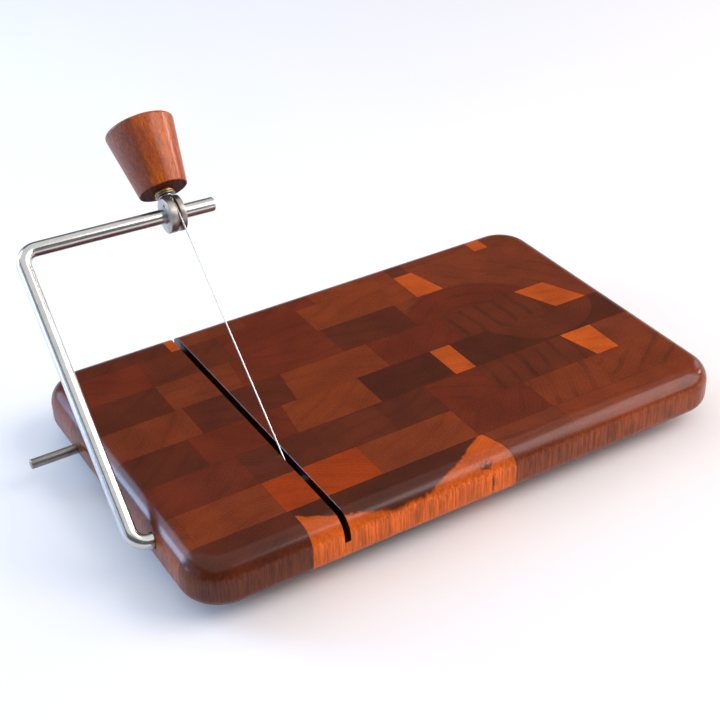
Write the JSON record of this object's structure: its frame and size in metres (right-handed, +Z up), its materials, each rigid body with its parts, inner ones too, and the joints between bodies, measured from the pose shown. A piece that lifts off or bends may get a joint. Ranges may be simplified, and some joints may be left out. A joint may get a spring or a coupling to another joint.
{
  "type": "cheese wire cutter",
  "caption": "End-grain block board with a cross slot and a hinged steel wire bow that swings down through cheese; a tapered wooden knob clamps the wire.",
  "frame": {"origin": "centre of the board's flat underside", "axes": "+X along the board away from the bow's end, +Y to the back, where the wire comes down, +Z up out of the cutting surface"},
  "size_m": [0.351, 0.2259, 0.1757],
  "materials": {
    "stave_mid_brown": "satin varnish",
    "stave_red_brown": "satin varnish",
    "stave_dark_brown": "satin varnish",
    "knob_wood": "satin varnish",
    "rod_steel": "polished stainless",
    "pin_steel": "plain drawn",
    "hub_steel": "turned stainless",
    "wire_steel": "drawn stainless wire",
    "zinc_steel": "zinc plated",
    "brass": "machined",
    "foot_rubber": "matt moulded"
  },
  "bodies": {
    "board": {"board_stave_1": "stave_dark_brown", "board_stave_2": "stave_mid_brown", "board_stave_3": "stave_red_brown", "board_stave_4": "stave_dark_brown", "board_stave_5": "stave_red_brown", "board_stave_6": "stave_dark_brown", "board_stave_7": "stave_mid_brown", "board_stave_8": "stave_dark_brown", "stop_pin": "pin_steel", "rubber_foot_1": "foot_rubber", "rubber_foot_2": "foot_rubber", "rubber_foot_3": "foot_rubber", "rubber_foot_4": "foot_rubber", "foot_screw_1": "zinc_steel", "foot_screw_2": "zinc_steel", "foot_screw_3": "zinc_steel", "foot_screw_4": "zinc_steel"},
    "bow": {"bow_rod": "rod_steel", "cutting_wire": "wire_steel", "wire_bead": "brass", "wire_eye": "wire_steel", "tension_hub": "hub_steel", "clamp_stud": "zinc_steel"},
    "washer": {"clamp_washer": "zinc_steel"},
    "knob": {"threaded_insert": "brass", "knob": "knob_wood"}
  },
  "joints": [
    {"name": "bow_pivot", "type": "hinge", "parent": "board", "child": "bow", "pos_m": [0, -0.0502, 0.014], "axis": [1, 0, 0], "range_deg": [-39.8, 138]},
    {"name": "washer_slide", "type": "slide", "parent": "bow", "child": "washer", "axis": [0.0306, 0.7346, 0.6779], "range_m": [0, 0.00385]},
    {"name": "knob_turn", "type": "hinge", "parent": "washer", "child": "knob", "pos_m": [-0.08247, 0.08311, 0.12562], "axis": [0.0306, 0.7346, 0.6779], "range_deg": [0, 1080]}
  ],
  "couplings": [
    {"joint": "washer_slide", "follows": "knob_turn", "m_per_rad": 0.00020213}
  ]
}
